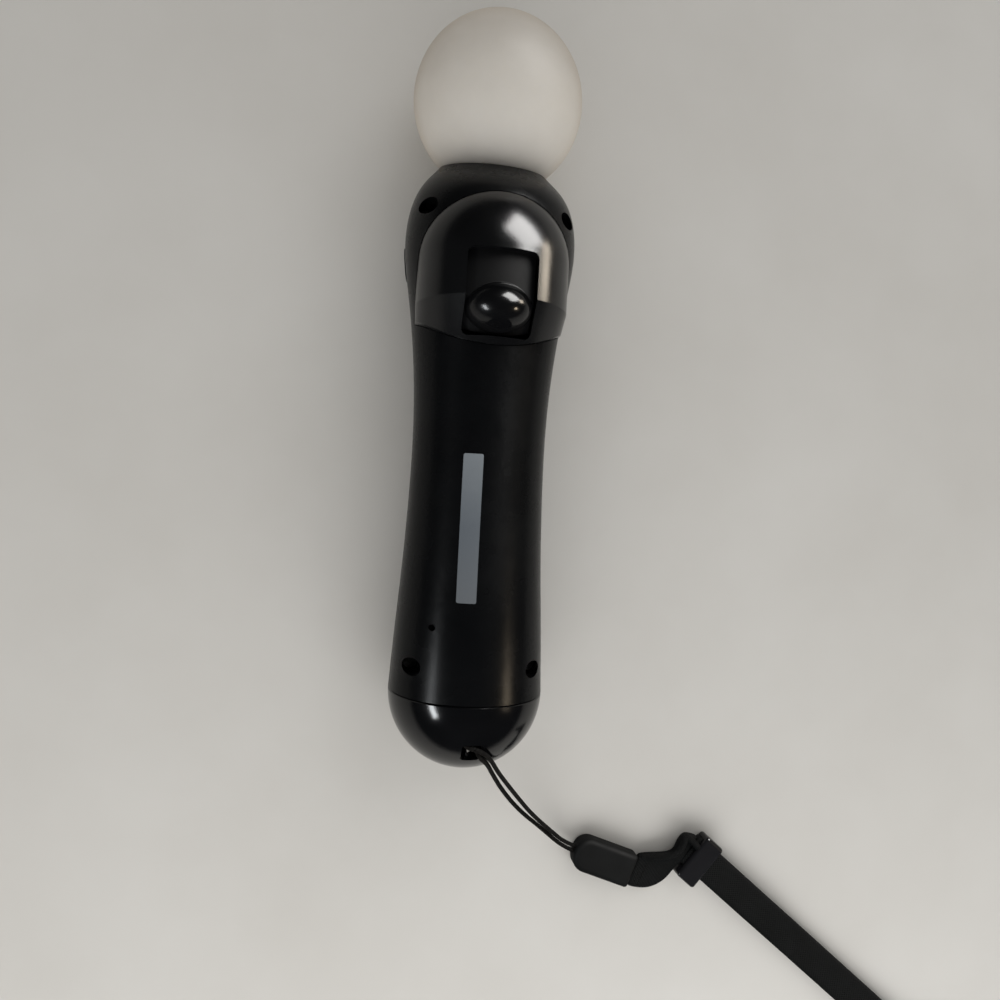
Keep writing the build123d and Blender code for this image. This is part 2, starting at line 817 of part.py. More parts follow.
def cap_shell():
    """The turned form of the cap: a half ball with a small edge at the seam and an inner spigot."""
    seam = seam_y - seam_gap
    inner = base_radius - wall
    spigot_radius = inner - cap_spigot_gap
    spigot_inner = spigot_radius - cap_spigot_wall
    spigot_end = seam_y + cap_spigot_length
    edge_low = seam - cap_edge
    edge_radius = math.sqrt(base_radius**2 - (edge_low - cap_centre_y) ** 2)
    root_low = cap_centre_y - math.sqrt(inner**2 - spigot_inner**2)
    arc_share = math.sqrt(2) / 2
    outer_middle = (base_radius * arc_share, cap_centre_y - base_radius * arc_share)
    inner_middle = (inner * arc_share, cap_centre_y - inner * arc_share)
    outline = make_face(
        [
            ThreePointArc((0, base_end), outer_middle, (edge_radius, edge_low)),
            Polyline(
                (edge_radius, edge_low),
                (edge_radius - cap_edge, seam),
                (spigot_radius, seam),
                (spigot_radius, spigot_end),
                (spigot_inner, spigot_end),
                (spigot_inner, root_low),
            ),
            ThreePointArc((spigot_inner, root_low), inner_middle, (0, cap_centre_y - inner)),
            Line((0, cap_centre_y - inner), (0, base_end)),
        ]
    )
    return Pos(0, 0, base_radius) * revolve(outline, Axis.Y)


def base_cap():
    """The rounded end cap: a spigot for the shells, port openings, contact holes and the strap slot."""
    cap = cap_shell()
    ball = Pos(0, cap_centre_y, base_radius) * Sphere(base_radius - wall / 2)
    rail_reach = Pos(0, cap_centre_y, base_radius) * Sphere(base_radius - wall - cap_spigot_wall / 2)
    board_low = port_board_low()
    rail_end = base_end + port_board_start + port_board_size[1]
    inner_reach = port_board_size[0] / 2 - rail_overlap
    for side in (-1, 1):
        x = side * (inner_reach + base_radius) / 2
        heights = (board_low - rail_thickness, board_low)
        rail = block(base_radius - inner_reach, (rail_end - rail_length, rail_end), heights, x)
        cap = cap + (rail & rail_reach)
    slot_width, slot_length, slot_depth = strap_slot_size
    plane = strap_slot_plane()
    floor = extrude(Rectangle(slot_width + 2 * wall, slot_length + 2 * wall), -(slot_depth + wall))
    housing = (plane * floor) & ball
    cap = cap + housing
    outline = fillet(Rectangle(slot_width, slot_length).vertices(), strap_slot_corner)
    slot = plane * Pos(strap_slot_reach, 0, -slot_depth) * extrude(outline, slot_depth + overrun)
    cap = cap - slot - socket_cut(usb_size, usb_height()) - socket_cut(extension_size, extension_height())
    for side in (-1, 1):
        cap = cap - along_y(
            contact_radius + seat_gap, base_end - overrun, cap_centre_y, side * contact_reach, base_radius
        )
    return cap - strap_bar()


def strap_bar():
    """The metal bar across the slot, bedded in both ends."""
    _, slot_length, _ = strap_slot_size
    half = slot_length / 2 + strap_bar_bedding
    bar = Rot(-90, 0, 0) * extrude(Circle(strap_bar_radius), 2 * half)
    return strap_slot_plane() * Pos(strap_bar_reach, -half, -strap_bar_depth) * bar


def socket(size, shell_wall, tongue_size, height):
    """An open-fronted socket with a tongue."""
    width, length, tall = size
    front = base_end + socket_recess
    outline = fillet(Rectangle(width, tall).vertices(), socket_corner)
    shell = across_plane(front, height) * extrude(outline, length)
    room = Rectangle(width - 2 * shell_wall, tall - 2 * shell_wall)
    cavity = across_plane(front, height) * extrude(room, length - shell_wall)
    tongue_width, tongue_length, tongue_height = tongue_size
    back = front + length - shell_wall
    tongue = block(
        tongue_width, (back - tongue_length, back), (height - tongue_height / 2, height + tongue_height / 2)
    )
    return shell - cavity + tongue


def port_board():
    width, length, _ = port_board_size
    low = port_board_low()
    start = base_end + port_board_start
    return block(width, (start, start + length), (low, low + port_board_size[2]))


def charging_contacts():
    """Two round contacts from the cap's skin back to the port board."""
    pins = []
    for side in (-1, 1):
        x = side * contact_reach
        start = cap_centre_y - math.sqrt(base_radius**2 - (contact_reach + contact_radius) ** 2)
        pins.append(along_y(contact_radius, start, base_end + port_board_start, x, base_radius))
    return Compound(pins)


def case_screws():
    """Four screws, one in each tower, that pull the halves together."""
    seat = parting_height + seam_gap / 2 + screw_tower_floor
    screws = []
    for x, y in screw_places():
        head = upright(screw_head_radius, x, y, seat, seat + screw_head_height)
        top = seat + screw_head_height
        recess = upright(screw_recess_radius, x, y, top - screw_recess_depth, top + overrun)
        shank = upright(screw_shank_radius, x, y, seat - screw_shank_length, seat)
        screws.append(head + shank - recess)
    return Compound(screws)


def label_strip(outside):
    """A blank strip that lies on the handle's skin."""
    width, length = label_size
    outline = fillet(Rectangle(width, length).vertices(), label_corner)
    y = base_end + label_place_share * overall_length
    column = Pos(label_reach, y, parting_height) * extrude(outline, 2 * head_radius)
    return column & (case_form(label_thickness) - outside)


def floor_place(place):
    """A place in plan that is given from the end of the base."""
    x, y = place
    return x, base_end + y


def strap_place(place, angle_value, along, across):
    """A place in plan by its distances along and across a strap piece."""
    angle = math.radians(angle_value)
    x, y = floor_place(place)
    return (
        x + along * math.cos(angle) - across * math.sin(angle),
        y + along * math.sin(angle) + across * math.cos(angle),
    )


def band_point(along, across):
    return strap_place(band_place, band_angle, along, across)


def easy_radii(points):
    """The radius at each bend: as large as its two runs allow, where an end run serves one bend only."""
    runs = [(Vector(*after) - Vector(*before)) for before, after in zip(points, points[1:], strict=False)]
    radii = []
    for arrive, leave in zip(runs, runs[1:], strict=False):
        arrive_room = arrive.length * (2 if arrive is runs[0] else 1)
        leave_room = leave.length * (2 if leave is runs[-1] else 1)
        turn = math.radians(arrive.get_angle(leave))
        radii.append(bend_share * min(arrive_room, leave_room) / math.tan(turn / 2))
    return radii


def tube(name, points, radius):
    """A round cord along a route."""
    radii = easy_radii(points)
    route = FilletPolyline(*points, radius=radii)
    print(name, "radii", [round(value, 1) for value in radii], "length", round(route.length, 1))
    profile = Plane(origin=route @ 0, z_dir=route % 0) * Circle(radius)
    return sweep(profile, route)


def slot_place(place):
    """A place given in the strap slot's axes, as (x, y, z) in space."""
    return tuple(strap_slot_plane().from_local_coords(Vector(*place)))


def cord_strand(name, loop, hang, hang_shares, side):
    """One strand of the cord, from its meeting point under the bar to the bore in the sleeve."""
    mouth_height = strap_slot_plane().origin.Z
    half = sleeve_size[0] / 2
    height = sleeve_size[2] / 2
    across = side * sleeve_bore_reach
    approach = strap_place(sleeve_place, sleeve_angle, -half - cord_approach, across)
    end = strap_place(sleeve_place, sleeve_angle, -half + sleeve_bore_depth, across)
    points = [slot_place(cord_meeting)]
    points += [slot_place(place) for place in loop]
    for place, share in zip(hang, hang_shares, strict=True):
        points.append((*floor_place(place), share * mouth_height))
    points += [(*approach, height), (*end, height)]
    return tube(name, points, cord_radius)


def strap_sleeve():
    """The rubber sleeve: a round nose with two bores for the cord, and a squarer tail."""
    length, width, height = sleeve_size
    outline = Rectangle(length, width)
    nose = outline.vertices().filter_by(lambda corner: corner.X < 0)
    outline = fillet(nose, sleeve_nose_radius)
    tail = outline.vertices().filter_by(lambda corner: corner.X > length / 2 - sleeve_tail_radius)
    outline = fillet(tail, sleeve_tail_radius)
    body = extrude(outline, height)
    ends = body.edges().filter_by(Plane.XY)
    body = fillet(ends, sleeve_edge)
    for side in (-1, 1):
        plane = Plane(origin=(-length, side * sleeve_bore_reach, height / 2), x_dir=(0, 1, 0), z_dir=(1, 0, 0))
        reach = length / 2 + sleeve_bore_depth
        body = body - plane * extrude(Circle(cord_radius + running_gap), reach)
    return Pos(*floor_place(sleeve_place), 0) * Rot(0, 0, sleeve_angle) * body


def layer_heights():
    """The middle heights of the two webbing layers where they pass the slider."""
    low = slider_floor + slider_slot_gap + webbing_thickness / 2
    return low, low + webbing_thickness + webbing_gap


def strap_webbing():
    """The stitched double webbing between the sleeve and the wrist loop, folded up on one side."""
    half = sleeve_size[0] / 2
    upper_start = strap_place(sleeve_place, sleeve_angle, half, neck_start_reach)
    lower_start = strap_place(sleeve_place, sleeve_angle, half, -neck_start_reach)
    upper_end = band_point(-band_start, webbing_width / 2)
    lower_end = band_point(-band_start, -neck_end_reach)
    upper_edge = [floor_place(place) for place in neck_upper_edge]
    upper_curve = Spline(upper_start, *upper_edge)
    lower_curve = Spline(lower_end, *[floor_place(place) for place in neck_lower_edge], lower_start)
    outline = make_face(
        [
            upper_curve,
            Line(upper_edge[-1], upper_end),
            Line(upper_end, lower_end),
            lower_curve,
            Line(lower_start, upper_start),
        ]
    )
    low, high = layer_heights()
    bottom = low - webbing_thickness / 2
    return Pos(0, 0, bottom) * extrude(outline, high - low + webbing_thickness)


def wrist_loop():
    """The flat wrist loop: two layers from the neck through the slider, joined by a bight at the far end."""
    low, high = layer_heights()
    profile_route = [(-band_start, low)]
    profile_route += loop_lower_route + loop_bight_route + loop_upper_route
    profile_route += [(-band_start, high)]
    points = [(*band_point(along, 0), height) for along, height in profile_route]
    radii = easy_radii(points)
    route = FilletPolyline(*points, radius=radii)
    print("wrist_loop radii", [round(value, 1) for value in radii], "length", round(route.length, 1))
    start = Plane(origin=points[0], x_dir=(0, 0, 1), z_dir=route % 0)
    return sweep(start * Rectangle(webbing_thickness, webbing_width), route)


def strap_slider():
    """The slider: a rounded block with a flat slot for the two layers."""
    length, width, height = slider_size
    body = Box(length, width, height, align=(Align.CENTER, Align.CENTER, Align.MIN))
    body = fillet(body.edges().filter_by(Axis.Y), slider_edge)
    body = fillet(body.edges().filter_by(Axis.Z), slider_edge)
    low, high = layer_heights()
    slot_low = low - webbing_thickness / 2 - slider_slot_gap
    slot_high = high + webbing_thickness / 2 + slider_slot_gap
    slot = Pos(0, -slider_reach, slot_low) * Box(
        2 * length,
        webbing_width + 2 * slider_slot_gap,
        slot_high - slot_low,
        align=(Align.CENTER, Align.CENTER, Align.MIN),
    )
    place = band_point(0, slider_reach)
    return Pos(*place, 0) * Rot(0, 0, band_angle) * (body - slot)


def save(name, piece):
    piece.label = name
    export_step(piece, f"parts/{name}.step")


def main():
    os.makedirs("parts", exist_ok=True)
    outside = case_outside()
    raised = case_outside(button_rise)
    side_raised = case_outside(side_button_rise)
    hollow = case_hollow()
    under_wall = case_hollow(-button_gap)
    deep = case_hollow(-button_gap - button_flange_thickness)
    save("rear_shell", rear_shell(outside, hollow))
    save("front_shell", front_shell(outside, hollow))
    save("trigger_bezel", trigger_bezel(hollow))
    save("trigger", trigger())
    save("trigger_pin", trigger_pin())
    save("trigger_spring", trigger_spring())
    save("trigger_sensor_board", sensor_board())
    save("sensor_bracket", sensor_bracket())
    for name in front_button_names:
        save(name, front_button(name, raised, under_wall, deep))
    save("left_side_button", side_button(-1, side_raised, under_wall, deep))
    save("right_side_button", side_button(1, side_raised, under_wall, deep))
    save("status_lens", status_lens(outside))
    save("main_board", main_board())
    save("button_mat", button_mat())
    switch, button = reset_parts()
    save("reset_switch", switch)
    save("reset_button", button)
    save("battery", battery())
    save("battery_tray", battery_tray())
    save("battery_lead", battery_lead())
    save("vibration_motor", vibration_motor())
    save("motor_weight", motor_weight())
    save("motor_cradle", motor_cradle())
    board, lens = led_parts()
    save("led_board", board)
    save("led_lens", lens)
    save("light_globe", light_globe())
    save("base_cap", base_cap())
    save("strap_bar", strap_bar())
    save("port_board", port_board())
    save("usb_socket", socket(usb_size, usb_wall, usb_tongue_size, usb_height()))
    save("extension_socket", socket(extension_size, extension_wall, extension_tongue_size, extension_height()))
    save("charging_contacts", charging_contacts())
    save("case_screws", case_screws())
    save("label_strip", label_strip(outside))
    save("strap_cord_upper", cord_strand("strap_cord_upper", upper_loop, upper_hang, upper_hang_shares, 1))
    save("strap_cord_lower", cord_strand("strap_cord_lower", lower_loop, lower_hang, lower_hang_shares, -1))
    save("strap_sleeve", strap_sleeve())
    save("strap_webbing", strap_webbing())
    save("wrist_loop", wrist_loop())
    save("strap_slider", strap_slider())


main()
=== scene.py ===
import json
import math

import bpy
from mathutils import Matrix, Vector


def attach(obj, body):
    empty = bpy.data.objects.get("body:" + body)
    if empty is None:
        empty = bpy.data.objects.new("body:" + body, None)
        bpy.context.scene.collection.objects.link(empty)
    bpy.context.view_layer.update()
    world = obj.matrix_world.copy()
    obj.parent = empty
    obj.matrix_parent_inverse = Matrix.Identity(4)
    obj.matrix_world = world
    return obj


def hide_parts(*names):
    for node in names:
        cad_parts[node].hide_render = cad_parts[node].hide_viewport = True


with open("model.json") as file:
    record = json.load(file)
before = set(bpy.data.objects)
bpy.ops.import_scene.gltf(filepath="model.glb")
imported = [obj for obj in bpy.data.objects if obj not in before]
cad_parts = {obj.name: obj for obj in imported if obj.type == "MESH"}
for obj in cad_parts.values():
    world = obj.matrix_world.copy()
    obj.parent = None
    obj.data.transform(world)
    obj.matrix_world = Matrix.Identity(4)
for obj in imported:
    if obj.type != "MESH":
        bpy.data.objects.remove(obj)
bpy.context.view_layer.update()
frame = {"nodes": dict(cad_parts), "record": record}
nodes = frame["nodes"]
MM = 0.001

# Where the trigger's knob, the globe and the label strip lie along the wand
knob_y = 18.2 * MM
knob_half_width = 7.3 * MM
knob_half_length = 5.2 * MM
globe_low_y = 58 * MM
globe_high_y = 84 * MM
label_low_y = -54 * MM
label_high_y = -17 * MM

# The weave and the braid
rib_pitch = 0.95 * MM
warp_pitch = 0.8 * MM
strands_per_metre = 5200

# The corners of a square, once round
corner_signs = ((-1, -1), (1, -1), (1, 1), (-1, 1))


# The camera looks straight down from above the middle of the wand
roll = math.radians(9.5)
lean = math.radians(3.2)
ahead = Vector((math.sin(roll), 0, -math.cos(roll)))
across = Vector((math.cos(roll), 0, math.sin(roll)))
along = Vector((0, 1, 0))
right = math.cos(lean) * across + math.sin(lean) * along
up = math.cos(lean) * along - math.sin(lean) * across
eye = Vector((-0.02843, -0.0282, 0.23149))
camera_data = bpy.data.cameras.new("camera")
camera_data.sensor_width = 36
camera_data.lens = 36 * 0.785
camera_data.clip_start = 0.01
camera_data.clip_end = 10
camera = bpy.data.objects.new("camera", camera_data)
bpy.context.scene.collection.objects.link(camera)
camera.matrix_world = Matrix(
    (
        (right.x, up.x, -ahead.x, eye.x),
        (right.y, up.y, -ahead.y, eye.y),
        (right.z, up.z, -ahead.z, eye.z),
        (0, 0, 0, 1),
    )
)
bpy.context.scene.camera = camera


# Materials
class Paint:
    """A material and its node tree."""

    def __init__(self, name):
        self.material = bpy.data.materials.new(name)
        self.material.use_nodes = True
        self.tree = self.material.node_tree
        self.shader = self.tree.nodes["Principled BSDF"]
        self.output = self.tree.nodes["Material Output"]
        coordinates = self.tree.nodes.new("ShaderNodeTexCoord")
        self.place = coordinates.outputs["Object"]
        self.uv = coordinates.outputs["UV"]

    def link(self, a, b):
        self.tree.links.new(a, b)

    def set(self, **values):
        for key, value in values.items():
            self.shader.inputs[key.replace("_", " ")].default_value = value
        return self

    def noise(self, scale, detail=3.0, roughness=0.55, vector=None):
        node = self.tree.nodes.new("ShaderNodeTexNoise")
        node.inputs["Scale"].default_value = scale
        node.inputs["Detail"].default_value = detail
        node.inputs["Roughness"].default_value = roughness
        self.link(self.place if vector is None else vector, node.inputs["Vector"])
        return node.outputs["Fac"]

    def ramp(self, value, stops):
        node = self.tree.nodes.new("ShaderNodeValToRGB")
        elements = node.color_ramp.elements
        while len(elements) < len(stops):
            elements.new(0.5)
        for element, (position, colour) in zip(elements, stops):
            element.position = position
            element.color = (*colour, 1)
        self.link(value, node.inputs["Fac"])
        return node.outputs["Color"]

    def span(self, value, low, high, from_low=0.0, from_high=1.0):
        node = self.tree.nodes.new("ShaderNodeMapRange")
        node.inputs["From Min"].default_value = from_low
        node.inputs["From Max"].default_value = from_high
        node.inputs["To Min"].default_value = low
        node.inputs["To Max"].default_value = high
        self.link(value, node.inputs["Value"])
        return node.outputs["Result"]

    def math(self, operation, a, b=None):
        node = self.tree.nodes.new("ShaderNodeMath")
        node.operation = operation
        for socket, value in zip(node.inputs, (a, b)):
            if value is None:
                continue
            if isinstance(value, (int, float)):
                socket.default_value = value
            else:
                self.link(value, socket)
        return node.outputs["Value"]

    def split(self, vector):
        node = self.tree.nodes.new("ShaderNodeSeparateXYZ")
        self.link(vector, node.inputs["Vector"])
        return node.outputs

    def bump(self, height, strength, distance):
        node = self.tree.nodes.new("ShaderNodeBump")
        node.inputs["Strength"].default_value = strength
        node.inputs["Distance"].default_value = distance
        previous = self.shader.inputs["Normal"]
        if previous.is_linked:
            self.link(previous.links[0].from_socket, node.inputs["Normal"])
        self.link(height, node.inputs["Height"])
        self.link(node.outputs["Normal"], previous)

    def colour(self, output):
        self.link(output, self.shader.inputs["Base Color"])

    def gloss(self, output):
        self.link(output, self.shader.inputs["Roughness"])


def moulded(name, dark, light, rough_low, rough_high, grain, grain_depth, shine=0.4):
    """Moulded plastic: an uneven tone, wiped patches in the gloss, a fine grain and a faint waviness.

    The depth of the grain is in millimetres."""
    paint = Paint(name)
    paint.colour(paint.ramp(paint.noise(45, 5), ((0.3, dark), (0.7, light))))
    paint.gloss(paint.span(paint.noise(70, 4, 0.65), rough_low, rough_high, 0.3, 0.7))
    paint.set(Specular_IOR_Level=shine)
    paint.bump(paint.noise(grain, 2), 0.45, grain_depth * MM)
    paint.bump(paint.noise(60, 1), 0.25, 0.02 * MM)
    return paint


def trigger_paint():
    """The trigger: a glossy knob on a duller plate, told apart by the distance from the knob's middle."""
    paint = moulded(
        "trigger", (0.0035, 0.0036, 0.0042), (0.0055, 0.0058, 0.0066), 0.15, 0.22, 2600, 0.02, 0.25
    )
    x, y, _ = paint.split(paint.place)
    past = paint.math("SUBTRACT", y, knob_y)
    squares = [
        paint.math("POWER", paint.math("ABSOLUTE", paint.math("DIVIDE", length, half)), 2.0)
        for length, half in ((x, knob_half_width), (past, knob_half_length))
    ]
    reach = paint.math("ADD", *squares)
    gloss = paint.shader.inputs["Roughness"].links[0].from_socket
    paint.gloss(paint.math("ADD", gloss, paint.span(reach, 0.0, 0.38, 0.98, 1.1)))
    paint.link(paint.span(reach, 0.25, 0.06, 0.98, 1.1), paint.shader.inputs["Specular IOR Level"])
    return paint


def metal(name, colour, rough_low, rough_high):
    """Bare metal: an uneven tone, and fine marks in the gloss."""
    paint = Paint(name).set(Metallic=1.0)
    darker = tuple(value * 0.8 for value in colour)
    paint.colour(paint.ramp(paint.noise(180, 3), ((0.3, darker), (0.7, colour))))
    paint.gloss(paint.span(paint.noise(300, 3), rough_low, rough_high, 0.3, 0.7))
    paint.bump(paint.noise(900, 2), 0.2, 0.01 * MM)
    return paint


def globe_paint():
    """Thin translucent plastic: painted shade that browns and darkens it towards its outline as the camera
    sees it, greyer at the far end, soft inside, faintly grained.
    """
    paint = Paint("globe")
    # Painted shade: the base colour turns darker and browner where the surface turns away from the camera,
    # towards the globe's outline
    facing = paint.tree.nodes.new("ShaderNodeLayerWeight")
    facing.inputs["Blend"].default_value = 0.35
    painted_rim_shade = paint.ramp(
        facing.outputs["Facing"],
        ((0.0, (0.83, 0.775, 0.70)), (0.45, (0.81, 0.745, 0.665)), (1.0, (0.62, 0.53, 0.43))),
    )
    _, y, _ = paint.split(paint.place)
    fade = paint.span(y, 0.15, 0.85, globe_low_y, globe_high_y)
    drift = paint.span(paint.noise(90, 4), -0.15, 0.15, 0.25, 0.75)
    mottle = paint.ramp(paint.math("ADD", fade, drift), ((0.0, (1, 1, 1)), (1.0, (0.80, 0.795, 0.79))))
    mix = paint.tree.nodes.new("ShaderNodeMix")
    mix.data_type = "RGBA"
    mix.blend_type = "MULTIPLY"
    mix.inputs["Factor"].default_value = 1
    colours = [socket for socket in mix.inputs if socket.type == "RGBA"]
    paint.link(painted_rim_shade, colours[0])
    paint.link(mottle, colours[1])
    paint.colour([socket for socket in mix.outputs if socket.type == "RGBA"][0])
    paint.set(Subsurface_Weight=0.6, Subsurface_Scale=8 * MM, Specular_IOR_Level=0.08)
    paint.shader.inputs["Subsurface Radius"].default_value = (1.0, 0.95, 0.88)
    paint.gloss(paint.span(paint.noise(60, 3), 0.46, 0.56, 0.3, 0.7))
    paint.bump(paint.noise(1500, 2), 0.2, 0.01 * MM)
    return paint


def webbing_paint():
    """Woven tape: fine ribs across it and warp lines along it, from the tape's own coordinates."""
    paint = Paint("webbing")
    u, v, _ = paint.split(paint.uv)
    rib = paint.math("SINE", paint.math("MULTIPLY", u, 2 * math.pi / rib_pitch))
    warp = paint.math("SINE", paint.math("MULTIPLY", v, 2 * math.pi / warp_pitch))
    weave = paint.math("MULTIPLY", rib, warp)
    paint.bump(weave, 0.6, 0.12 * MM)
    paint.bump(paint.noise(2500, 2), 0.4, 0.04 * MM)
    tone = paint.math("MULTIPLY_ADD", weave, 0.12)
    tone.node.inputs[2].default_value = 0.5
    shade = paint.math("MULTIPLY", tone, paint.span(paint.noise(120, 4), 0.8, 1.2, 0.3, 0.7))
    paint.colour(paint.ramp(shade, ((0.25, (0.002, 0.0024, 0.0026)), (0.8, (0.007, 0.008, 0.0084)))))
    paint.set(Roughness=0.7, Sheen_Weight=0.01, Sheen_Roughness=0.5, Specular_IOR_Level=0.05)
    return paint


def cord_paint():
    """Braided cord: two crossing sets of strands."""
    paint = Paint("cord")
    x, y, z = paint.split(paint.place)
    run = paint.math("SUBTRACT", x, y)
    one = paint.math("SINE", paint.math("MULTIPLY", paint.math("ADD", run, z), strands_per_metre))
    two = paint.math("SINE", paint.math("MULTIPLY", paint.math("SUBTRACT", run, z), strands_per_metre))
    braid = paint.math("MAXIMUM", one, two)
    paint.bump(braid, 0.7, 0.12 * MM)
    stops = ((0.3, (0.0025, 0.0022, 0.002)), (0.7, (0.010, 0.009, 0.008)))
    paint.colour(paint.ramp(paint.noise(1200, 3), stops))
    paint.set(Roughness=0.75, Sheen_Weight=0.01, Specular_IOR_Level=0.05)
    return paint


def rubber(name, dark, light):
    """Rubber: dull, with an uneven tone and a fine grain."""
    paint = Paint(name)
    paint.colour(paint.ramp(paint.noise(80, 5), ((0.3, dark), (0.7, light))))
    paint.set(Specular_IOR_Level=0.08)
    paint.gloss(paint.span(paint.noise(120, 4), 0.55, 0.72, 0.3, 0.7))
    paint.bump(paint.noise(2200, 3), 0.35, 0.03 * MM)
    return paint


def board_paint():
    """A printed board: solder mask with paler tracks."""
    paint = Paint("board")
    brick = paint.tree.nodes.new("ShaderNodeTexBrick")
    brick.inputs["Scale"].default_value = 260
    brick.inputs["Mortar Size"].default_value = 0.03
    brick.inputs["Color1"].default_value = (0.012, 0.075, 0.035, 1)
    brick.inputs["Color2"].default_value = (0.016, 0.095, 0.045, 1)
    brick.inputs["Mortar"].default_value = (0.05, 0.2, 0.1, 1)
    paint.link(paint.place, brick.inputs["Vector"])
    paint.colour(brick.outputs["Color"])
    paint.bump(brick.outputs["Fac"], 0.3, 0.03 * MM)
    paint.gloss(paint.span(paint.noise(90), 0.3, 0.45, 0.3, 0.7))
    return paint


def clear_paint():
    """Clear plastic with faint tints."""
    paint = Paint("lens").set(Transmission_Weight=1.0, IOR=1.49)
    paint.colour(paint.ramp(paint.noise(60), ((0.3, (0.86, 0.9, 0.92)), (0.7, (0.95, 0.96, 0.97)))))
    paint.gloss(paint.span(paint.noise(150), 0.05, 0.14, 0.3, 0.7))
    return paint


def label_paint():
    """The blank strip: pale blue-grey, lighter towards the globe, with a fine grain."""
    paint = Paint("label")
    _, y, _ = paint.split(paint.place)
    fade = paint.span(y, 0.0, 1.0, label_low_y, label_high_y)
    drift = paint.span(paint.noise(160, 4), -0.1, 0.1)
    stops = ((0.0, (0.128, 0.143, 0.160)), (0.5, (0.118, 0.138, 0.162)), (1.0, (0.200, 0.226, 0.250)))
    paint.colour(paint.ramp(paint.math("ADD", fade, drift), stops))
    paint.set(Roughness=0.5, Specular_IOR_Level=0.2)
    paint.bump(paint.noise(1800, 2), 0.3, 0.01 * MM)
    return paint


# Plastics: name, darker and lighter tone, lowest and highest roughness, grain, its depth, and shine
plastics = (
    ("case", (0.0026, 0.0029, 0.0034), (0.0046, 0.0050, 0.0058), 0.24, 0.31, 2600, 0.03, 0.08),
    ("bezel", (0.0040, 0.0042, 0.0048), (0.0062, 0.0066, 0.0074), 0.18, 0.25, 3000, 0.04, 0.28),
    ("cap", (0.0032, 0.0034, 0.0040), (0.0050, 0.0053, 0.0062), 0.12, 0.18, 2600, 0.02, 0.25),
    ("buttons", (0.010, 0.011, 0.012), (0.016, 0.017, 0.019), 0.22, 0.32, 2600, 0.02),
    ("slider", (0.008, 0.008, 0.009), (0.014, 0.014, 0.016), 0.12, 0.22, 2600, 0.01, 0.3),
    ("switch", (0.012, 0.012, 0.012), (0.02, 0.02, 0.02), 0.4, 0.5, 2600, 0.02),
    ("frame", (0.02, 0.02, 0.022), (0.035, 0.035, 0.037), 0.45, 0.6, 2600, 0.02),
    ("battery", (0.09, 0.11, 0.17), (0.12, 0.14, 0.2), 0.3, 0.45, 1500, 0.02),
)
rubbers = (
    ("wire", (0.25, 0.01, 0.01), (0.4, 0.02, 0.015)),
    ("mat", (0.09, 0.095, 0.1), (0.14, 0.145, 0.15)),
    ("sleeve", (0.0035, 0.0039, 0.0043), (0.007, 0.0079, 0.0084)),
)
metals = (
    ("steel", (0.66, 0.65, 0.63), 0.26, 0.36),
    ("weight", (0.5, 0.49, 0.48), 0.3, 0.42),
    ("motor", (0.7, 0.7, 0.7), 0.2, 0.32),
    ("contacts", (0.83, 0.65, 0.3), 0.2, 0.3),
)
paints = {
    "globe": globe_paint(),
    "trigger": trigger_paint(),
    "board": board_paint(),
    "lens": clear_paint(),
    "label": label_paint(),
    "cord": cord_paint(),
    "webbing": webbing_paint(),
}
for make, rows in ((moulded, plastics), (rubber, rubbers), (metal, metals)):
    for row in rows:
        paints[row[0]] = make(*row)
for entry in frame["record"]["subparts"]:
    shown = nodes[entry["node"]]
    shown.data.materials.clear()
    shown.data.materials.append(paints[entry["material_slot"]].material)


# Soft pieces
def add(name, data, slot):
    """A new object with a paint, which rides on the housing."""
    obj = bpy.data.objects.new(name, data)
    bpy.context.scene.collection.objects.link(obj)
    data.materials.append(paints[slot].material)
    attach(obj, "housing")
    return obj


def spline(name, points, radius=0.0):
    """A smooth curve whose control points are a route's points."""
    data = bpy.data.curves.new(name, "CURVE")
    data.dimensions = "3D"
    data.resolution_u = 12
    line = data.splines.new("NURBS")
    line.points.add(len(points) - 1)
    for point, place in zip(line.points, points):
        point.co = (*place, 1)
    line.order_u = 3
    line.use_endpoint_u = True
    data.bevel_depth = radius
    data.bevel_resolution = 5
    data.use_fill_caps = True
    return data


def read_line(points):
    """The points of the smooth curve on a route."""
    curve = bpy.data.objects.new("reading", spline("reading", points))
    bpy.context.scene.collection.objects.link(curve)
    bpy.context.view_layer.update()
    seen = curve.evaluated_get(bpy.context.evaluated_depsgraph_get())
    mesh = seen.to_mesh()
    line = [vertex.co.copy() for vertex in mesh.vertices]
    seen.to_mesh_clear()
    bpy.data.objects.remove(curve)
    return line


def grid_mesh(name, rings, distances, widths):
    """A closed band of rings of points, with coordinates in metres along and across it."""
    count = len(rings[0])
    vertices = [tuple(point) for ring in rings for point in ring]
    faces = []
    places = []
    for i in range(len(rings) - 1):
        for j in range(count):
            k = (j + 1) % count
            faces.append((i * count + j, i * count + k, (i + 1) * count + k, (i + 1) * count + j))
            here, there = distances[i], distances[i + 1]
            near, far = widths[j], widths[k]
            places.append(((here, near), (here, far), (there, far), (there, near)))
    last = (len(rings) - 1) * count
    faces.append(tuple(reversed(range(count))))
    faces.append(tuple(range(last, last + count)))
    places.append(tuple((distances[0], w) for w in reversed(widths)))
    places.append(tuple((distances[-1], w) for w in widths))
    mesh = bpy.data.meshes.new(name)
    mesh.from_pydata(vertices, [], faces)
    layer = mesh.uv_layers.new(name="tape")
    for polygon, corners in zip(mesh.polygons, places):
        polygon.use_smooth = True
        for loop, corner in zip(polygon.loop_indices, corners):
            layer.data[loop].uv = corner
    mesh.update()
    return mesh


# The angles of the points that round off a tape's edge
edge_angles = (0.8, 1.57, 2.34)


